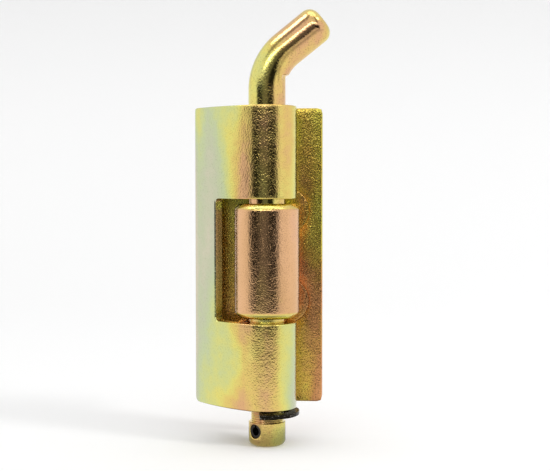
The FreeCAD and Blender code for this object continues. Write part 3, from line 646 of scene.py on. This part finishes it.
# ---------------------------------------------------------------------------------------------------------
# Mounting studs: two cold headed M6 studs with rolled threads, pressed through the leaf until their flat
# heads are flush with its front. Plated with the leaf.
# ---------------------------------------------------------------------------------------------------------
def turned(profile, segments, place):
    """A closed surface of revolution: each profile row is a radius, or one for each angle, and a length;
    place(angle, length, radius) puts it on its axis."""
    angle = np.linspace(0, 2 * math.pi, segments, endpoint=False)
    radius = np.stack([np.broadcast_to(row[0], segments) for row in profile])
    length = np.array([row[1] for row in profile])[:, None]
    points = place(*np.broadcast_arrays(angle[None, :], length, radius))
    return points, grid_quads(len(profile), segments, close_columns=True)


def rounded_step(radius, length, edge, outward, steps=4):
    """Profile rows of a quarter circle round an outside corner of a turned part, from the end face out
    to the side, or from the side back into the end face."""
    turn = np.linspace(0, math.pi / 2, steps + 1)
    rows = [(radius - edge * (1 - math.sin(a)), length + outward * edge * (1 - math.cos(a))) for a in turn]
    return rows if outward > 0 else rows[::-1]


def stud_profile(segments):
    """Head, collar, threaded shank and tip. The thread's radius is a blunt triangle wave of the length
    less one pitch a turn; it fades out at the leaf, and the tip's cone cuts it."""
    face = leaf_low.y + 0.03 * mm
    head_r = stud_head_r - 0.03 * mm
    head = [(0, face), (stud_head_r - 0.6 * mm, face), *rounded_step(head_r, face, 0.14 * mm, 1)]
    under_head = leaf_low.y + stud_head_thick - 0.01 * mm
    collar = stud_collar_r - 0.02 * mm
    neck = [(head_r, under_head), (collar, under_head), (collar, leaf_high.y)]
    pitch, crest, root, tip = 1.0 * mm, 3.0 * mm, 2.42 * mm, 14 * mm
    angle = np.linspace(0, 2 * math.pi, segments, endpoint=False)
    thread = []
    for length in np.arange(leaf_high.y + 0.05 * mm, tip, pitch / 10):
        wave = abs((length / pitch - angle / (2 * math.pi)) % 1 * 2 - 1)
        depth = np.clip(wave * 1.35 - 0.12, 0, 1) * (crest - root)
        fade = min(1.0, (length - leaf_high.y) / (0.9 * mm))
        thread.append((np.minimum(crest - depth * fade, crest - (length - tip + 0.8 * mm)), length))
    return [*head, *neck, *thread, (crest - 0.85 * mm, tip), (0, tip)]


def make_studs():
    """The same turned stud at both heights."""
    segments = 72
    parts = []
    for height in stud_heights:
        def on_stud(angle, length, radius, height=height):
            """A circle square on to the leaf, carried straight back."""
            return np.stack([radius * np.cos(angle), length, height + radius * np.sin(angle)], axis=-1)

        parts.append(turned(stud_profile(segments), segments, on_stud))
    new_piece("studs", *joined(*parts), leaf_metal, "frame", "stud_zinc", "mounting_studs", smooth_below=30)


make_studs()


# ---------------------------------------------------------------------------------------------------------
# Knuckle: a turned steel bush between the wing's two barrels, chamfered at both ends, and welded to the
# leaf. It was plated after it was welded on.
# ---------------------------------------------------------------------------------------------------------
def about_pin(angle, height, radius):
    """Angles run from the front towards the left, as seen from the front."""
    return np.stack([pin_x - radius * np.sin(angle), pin_y - radius * np.cos(angle), height], axis=-1)


def knuckle_profile():
    """Bore, end face, chamfer with soft corners, and side, for the upper half; the lower mirrors it."""
    outer, half, chamfer, edge = 7 * mm, 12.25 * mm, 1.0 * mm, 0.35 * mm
    slope = edge * (1 - math.sqrt(0.5))
    end = [(bore_r + 0.15 * mm, half), (outer - chamfer - edge, half),
           (outer - chamfer - slope, half - slope * 0.35), (outer - chamfer + slope, half - slope * 1.6),
           (outer - slope * 1.6, half - chamfer + slope), (outer - slope * 0.35, half - chamfer - slope),
           (outer, half - chamfer - edge * 1.4)]
    side = [(outer, height) for height in np.linspace(half - chamfer - edge * 2, 0, 12)]
    upper = [(bore_r, 0), (bore_r, half - 0.15 * mm), *end, *side]
    whole = [*upper, *[(radius, -height) for radius, height in upper[-2::-1]]]
    return [(radius, height - notch_drop) for radius, height in whole]


knuckle_metal = passivated("knuckle_zinc", (
    (-12.85 * mm, 0.44), (-11.9 * mm, 0.46), (-11.4 * mm, 0.68), (0, 0.72), (10.2 * mm, 0.69),
    (10.7 * mm, 0.46), (11.65 * mm, 0.44)), drift=0.18, soil=0.2, depth=1.1, roughness=0.09, axis=2)
new_piece("knuckle_bush", *turned(knuckle_profile(), 144, about_pin), knuckle_metal,
          "frame", "knuckle_zinc", "knuckle")


# ---------------------------------------------------------------------------------------------------------
# Weld beads: two fillet welds, left and right, run up the corners between the knuckle and the leaf. Their
# faces are rippled where the pool froze step by step, and they are plated over.
# ---------------------------------------------------------------------------------------------------------
def weld_bead(side):
    """The bead's section is a fan from the deepest point of the corner; its face swells by a share of its
    leg, with a ripple along the length whose crests bow upwards in the middle of the face."""
    inset, toe, half_long = 1.52 * mm, 5.4 * mm, 9.95 * mm
    knuckle_r = 7.02 * mm
    height = np.linspace(-half_long, half_long, 161)[:, None]
    share = np.linspace(0, 1, 13)[None, :]
    leaf_y = leaf_low.y - 0.02 * mm
    reach = math.asin(5.0 * mm / knuckle_r)
    foot = math.asin(inset / knuckle_r)
    angle = foot + (reach - foot) * share
    face_x = toe + (knuckle_r * math.sin(reach) - toe) * share
    face_y = leaf_y + (pin_y + knuckle_r * math.cos(reach) - leaf_y) * share
    ripple = np.sin((height / (0.9 * mm) - 1.2 * np.sin(math.pi * share)) * 2 * math.pi)
    end_fade = np.clip((half_long - abs(height)) / (1.4 * mm), 0, 1) ** 0.5
    crown = np.sin(math.pi * share) * (0.16 + 0.05 * ripple) * mm
    swell = crown * end_fade - (1 - end_fade) * 0.5 * mm
    face = np.stack(np.broadcast_arrays(pin_x + side * (face_x + swell * 0.4), face_y - swell, height),
                    axis=-1)
    back = np.stack(np.broadcast_arrays(pin_x + side * knuckle_r * np.sin(angle),
                                        pin_y + knuckle_r * np.cos(angle), height), axis=-1)
    points = np.concatenate([face, back[:, ::-1]], axis=1)
    count = points.shape[1]
    faces = grid_quads(len(points), count, close_columns=True).tolist()
    ends = [list(range(count)), list(range((len(points) - 1) * count, len(points) * count))]
    return points.reshape(-1, 3), faces + ends


new_piece("welds", *joined(weld_bead(-1), weld_bead(1)), leaf_metal, "frame", "weld_zinc", "knuckle_welds")


# ---------------------------------------------------------------------------------------------------------
# Hinge pin: 8 mm round bar, bent cold to make the handle, which left a pinched step inside the bend. The
# foot is turned down to a neck for the clip and cross drilled for the spring pin. Plated on its own.
# ---------------------------------------------------------------------------------------------------------
pin_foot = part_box("hinge_pin")[0].z
pin_r, neck_r = 4 * mm, 3.5 * mm
bend_r, bend_turn = 11 * mm, 51.5 * degree
bend_setback = bend_r * math.tan(bend_turn / 2)
bend_starts = hinge_top + 8.8 * mm - bend_setback
bend_ends = bend_starts + bend_r * bend_turn
pin_long = bend_ends + 15.3 * mm - bend_setback
hole_r, hole_height, hole_turn = 1.52 * mm, hinge_foot - 4.8 * mm, 38 * degree
window_foot, window_top = hole_height - 1.8 * mm, hole_height + 1.7 * mm


def on_pin(angle, along, radius):
    """A circle carried along a line, an arc and a line: along is the height until the bend begins. Inside
    the bend the bar was held in a die, so it stays straight a little longer and then steps out."""
    held_long, step_long = 2.7 * mm, 0.5 * mm
    bend = np.clip((along - bend_starts) / bend_r, 0, bend_turn)
    rest = along - bend_starts - bend * bend_r
    side = -radius * np.sin(angle)
    x = bend_r * (1 - np.cos(bend)) + rest * np.sin(bend) + side * np.cos(bend)
    y = -radius * np.cos(angle)
    z = bend_starts + bend_r * np.sin(bend) + rest * np.cos(bend) - side * np.sin(bend)
    straight_x = np.sqrt(np.maximum(radius ** 2 - y ** 2, 0))
    step = np.clip((z - bend_starts - held_long) / step_long, 0, 1)
    inside = np.clip((side / np.maximum(radius, mm) - 0.72) / 0.2, 0, 1)
    held = (1 - step ** 2 * (3 - 2 * step)) * inside ** 2 * (3 - 2 * inside)
    x = np.where((side > 0) & (x > straight_x), x - (x - straight_x) * held, x)
    return np.stack([pin_x + x, pin_y + y, z], axis=-1)


def pin_profile():
    """Rounded foot, plain land round the cross hole, neck with the rings that its tool left, bar, bend,
    handle and rounded end."""
    foot = [(0, pin_foot), (1.4 * mm, pin_foot), *rounded_step(pin_r, pin_foot, 1.2 * mm, 1, 8)]
    window = [(pin_r, height) for height in spaced([window_foot, window_top], 0.3 * mm)]
    neck_foot, neck_top = hinge_foot - 3.0 * mm, hinge_foot - 0.5 * mm
    neck_rows = np.arange(neck_foot + 0.06 * mm, neck_top - 0.05 * mm, 0.05 * mm)
    groove = 0.09 * mm * (0.5 + 0.5 * np.sin(neck_rows / (0.46 * mm) * 2 * math.pi))
    neck = [*rounded_step(pin_r, neck_foot, 0.08 * mm, -1), (neck_r, neck_foot),
            *zip(neck_r - groove, neck_rows), (neck_r, neck_top),
            *rounded_step(pin_r, neck_top, 0.08 * mm, 1)]
    bar = [(pin_r, height) for height in spaced([hinge_foot, bend_starts], 3 * mm)]
    bend = [(pin_r, along) for along in spaced([bend_starts, bend_ends], 0.1 * mm)]
    handle = [(pin_r, along) for along in spaced([bend_ends + mm, pin_long - 2.6 * mm], mm)]
    end = [*rounded_step(pin_r, pin_long, 2.4 * mm, -1, 10), (0.9 * mm, pin_long), (0, pin_long)]
    return [*foot, *window, *neck, *bar, *bend, *handle, *end]


def make_pin():
    """The turned surface less two windows, and the cross hole that joins them."""
    wide, step = 28 * degree, 3.5 * degree
    front_window = spaced([hole_turn - wide, hole_turn + wide], step)
    back_window = front_window + math.pi
    gap = spaced([hole_turn + wide, hole_turn + math.pi - wide], step)
    angles = np.concatenate([front_window, gap[1:-1], back_window, gap[1:-1] + math.pi])
    profile = pin_profile()
    radius = np.array([row[0] for row in profile])[:, None]
    along = np.array([row[1] for row in profile])[:, None]
    points = on_pin(*np.broadcast_arrays(angles[None, :], along, radius))
    quads = grid_quads(len(profile), len(angles), close_columns=True)
    quad_row, quad_column = np.divmod(np.arange(len(quads)), len(angles))
    low = int(np.argmin(abs(along[:, 0] - window_foot)))
    high = int(np.argmin(abs(along[:, 0] - window_top)))
    cells = len(front_window) - 1
    back_first = len(front_window) + len(gap) - 2
    in_window = (quad_column < cells) | ((quad_column >= back_first) & (quad_column < back_first + cells))
    quads = quads[~((quad_row >= low) & (quad_row < high) & in_window)]
    outline = window_outline((front_window - hole_turn) * pin_r, along[low:high + 1, 0] - hole_height)
    unit = outline / np.hypot(*outline.T)[:, None]
    axis = np.array([math.sin(hole_turn), math.cos(hole_turn), 0])
    across = np.array([math.cos(hole_turn), -math.sin(hole_turn), 0])
    rim = 0.13 * mm
    rings = [on_pin(hole_turn + outline[:, 0] / pin_r, hole_height + outline[:, 1], pin_r)]
    far_rings = [on_pin(hole_turn + math.pi - outline[:, 0] / pin_r, hole_height + outline[:, 1], pin_r)]
    for turn in np.linspace(0, math.pi / 2, 4):
        offset = unit * (hole_r + rim * (1 - math.sin(turn)))
        deep = np.sqrt(pin_r ** 2 - offset[:, 0] ** 2) - rim * (1 - math.cos(turn))
        middle = np.array([pin_x, pin_y, hole_height]) - offset[:, :1] * across
        middle[:, 2] += offset[:, 1]
        rings.append(middle - deep[:, None] * axis)
        far_rings.append(middle + deep[:, None] * axis)
    hole = np.array(rings + far_rings[::-1])
    hole_quads = grid_quads(len(hole), len(outline), close_columns=True)
    return joined((points, quads), (hole, hole_quads))


pin_metal = passivated("pin_zinc", (
    (-41 * mm, 0.46), (-36 * mm, 0.50), (30 * mm, 0.58), (37 * mm, 0.60), (42 * mm, 0.56), (54 * mm, 0.62)),
    drift=0.40, soil=0.35, depth=0.45, roughness=0.08, axis=2)
new_piece("bent_pin", *make_pin(), pin_metal, "pin", "pin_zinc", "hinge_pin")


# ---------------------------------------------------------------------------------------------------------
# Retaining clip: an E-clip stamped from 0.9 mm spring steel and blackened, snapped into the pin's neck so
# that the pin can't be lifted out. Three lobes touch the neck, with relief gaps between them.
# ---------------------------------------------------------------------------------------------------------
def make_clip():
    """A fan of quads from the seat to the rim. The mouth's ends stop at one straight line, and between
    the lobes, which are placed in degrees off the clip's middle, the inner radius grows to the relief."""
    outer, seat, relief, edge, thick = 7 * mm, 3.56 * mm, 5.1 * mm, 0.12 * mm, 0.9 * mm
    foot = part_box("retaining_clip")[0].z
    share = np.linspace(0, 1, 9)[:, None]
    turn = np.linspace(-1, 1, 121)[None, :]
    half_lobe, gap_ends, rounding, half_clip = 15, 61, 5, 118
    off_middle = abs(turn) * half_clip
    into_gap = (np.clip((off_middle - half_lobe) / rounding, 0, 1)
                * np.clip((gap_ends - off_middle) / rounding, 0, 1))
    inner = seat + edge + (relief - seat) * into_gap ** 2 * (3 - 2 * into_gap)
    radius = inner + (outer - edge - inner) * share
    mouth = np.arccos(-1.9 * mm / radius)
    angle = turn * mouth + 9 * degree
    flat = np.stack([(radius * np.cos(angle)).ravel(), (radius * np.sin(angle)).ravel()], axis=1)
    quads = grid_quads(*radius.shape)[:, ::-1]

    def on_neck(x, y, depth):
        """The flat plate at the neck's height; depth goes down from its top."""
        x, y, depth = np.broadcast_arrays(x, y, depth)
        return np.stack([pin_x + x, pin_y + y, foot + thick - depth], axis=-1)

    return rounded_plate(flat, quads, on_neck, thick, edge, steps=3)


def darkened(name, colour, worn_colour, worn_share, roughness):
    """Blackened or phosphated spring steel, rubbed through in fine specks."""
    material = bpy.data.materials.new(name)
    material.use_nodes = True
    add = nodes_of(material.node_tree)
    place = add("ShaderNodeTexCoord").outputs["Object"]
    specks = add("ShaderNodeTexNoise", {"Vector": place, "Scale": 2400.0, "Detail": 3.0}).outputs[0]
    worn = smooth_step(add, specks, 0.62 - worn_share, 0.80 - worn_share, 0.0, 1.0)
    mixed = add("ShaderNodeMix", {0: worn, 6: colour, 7: worn_colour}, data_type="RGBA")
    grain = grouped(add, grain_group, {"Depth": 1.0, "Roughness": roughness})
    surface = add("ShaderNodeBsdfPrincipled", {
        "Base Color": mixed.outputs[2], "Metallic": 1.0,
        "Normal": grain["Normal"], "Roughness": grain["Roughness"]})
    add("ShaderNodeOutputMaterial", {0: surface.outputs[0]})
    return material


clip_steel = darkened("blackened_steel", linear(34, 30, 24), linear(120, 116, 110), 0.06, 0.28)
new_piece("e_clip", *make_clip(), clip_steel, "clip", "black_spring_steel", "retaining_clip")


# ---------------------------------------------------------------------------------------------------------
# Spring pin: a strip of spring steel rolled into a slotted tube and driven through the foot of the pin,
# where its ends stand a little below the surface. It is dark and unplated.
# ---------------------------------------------------------------------------------------------------------
def make_spring_pin():
    """The strip, flat, is its length by its round; rolled, the round becomes an angle about the axis."""
    outer, thick, slot, edge, long = 1.49 * mm, 0.6 * mm, 0.6 * mm, 0.12 * mm, 7.3 * mm
    half_round = outer * (math.pi - math.asin(slot / 2 / outer))
    rounds = spaced([-half_round + edge, half_round - edge], 0.2 * mm)
    lengths = spaced([-long / 2 + edge, long / 2 - edge], 0.5 * mm)
    around, along = np.meshgrid(rounds, lengths)
    flat = np.stack([around.ravel(), along.ravel()], axis=1)

    def through_pin(around, along, depth):
        """The round over the outer radius is the angle, and the axis crosses the pin at hole_turn."""
        around, along, depth = np.broadcast_arrays(around, along, depth)
        angle = around / outer
        side = (outer - depth) * np.sin(angle)
        return np.stack([pin_x - along * math.sin(hole_turn) + side * math.cos(hole_turn),
                         pin_y - along * math.cos(hole_turn) - side * math.sin(hole_turn),
                         hole_height - (outer - depth) * np.cos(angle)], axis=-1)

    return rounded_plate(flat, grid_quads(len(lengths), len(rounds)), through_pin, thick, edge, steps=3)


spring_steel = darkened("phosphated_steel", linear(62, 58, 56), linear(120, 116, 112), 0.02, 0.38)
new_piece("roll_pin", *make_spring_pin(), spring_steel, "pin", "dark_spring_steel", "spring_pin")
